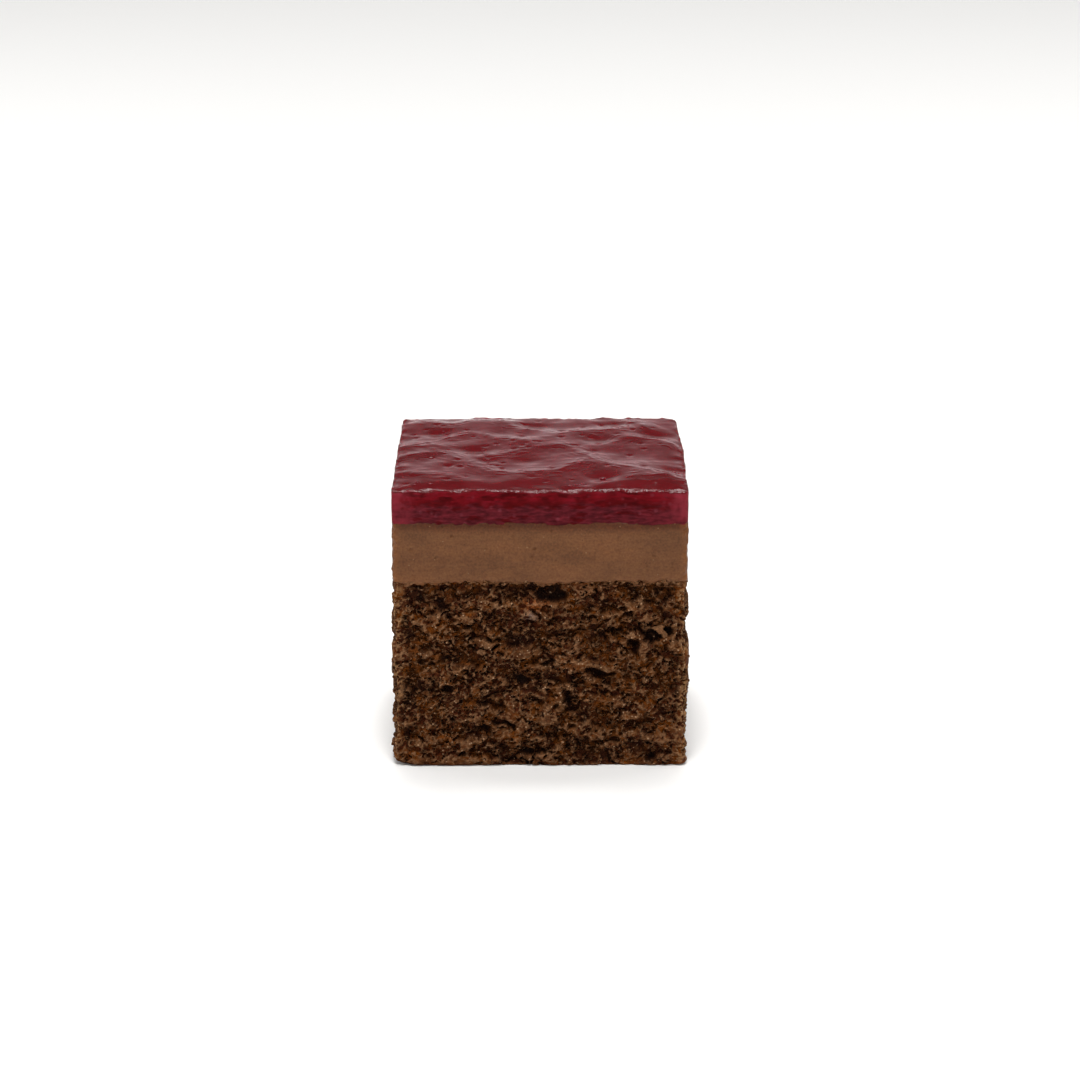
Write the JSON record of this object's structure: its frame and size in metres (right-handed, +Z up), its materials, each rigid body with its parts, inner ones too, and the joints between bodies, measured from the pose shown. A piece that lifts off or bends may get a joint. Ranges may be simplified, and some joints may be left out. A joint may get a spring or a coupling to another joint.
{
  "type": "cake bite",
  "caption": "Small cube of layered cake, with chocolate sponge below, smooth chocolate mousse above it and a glossy, wavy berry jelly on top.",
  "frame": {"origin": "middle of the flat underside of the sponge", "axes": "+Z up through the layers, and the side that the picture shows faces -Y"},
  "size_m": [0.035, 0.035, 0.0346],
  "materials": {
    "chocolate_sponge": "matte, porous, torn crumb",
    "chocolate_mousse": "satin, smooth, knife cut",
    "berry_jelly": "glossy, translucent, set in low waves"
  },
  "bodies": {
    "root": {"sponge": "chocolate_sponge", "mousse": "chocolate_mousse", "jelly": "berry_jelly"}
  },
  "joints": []
}
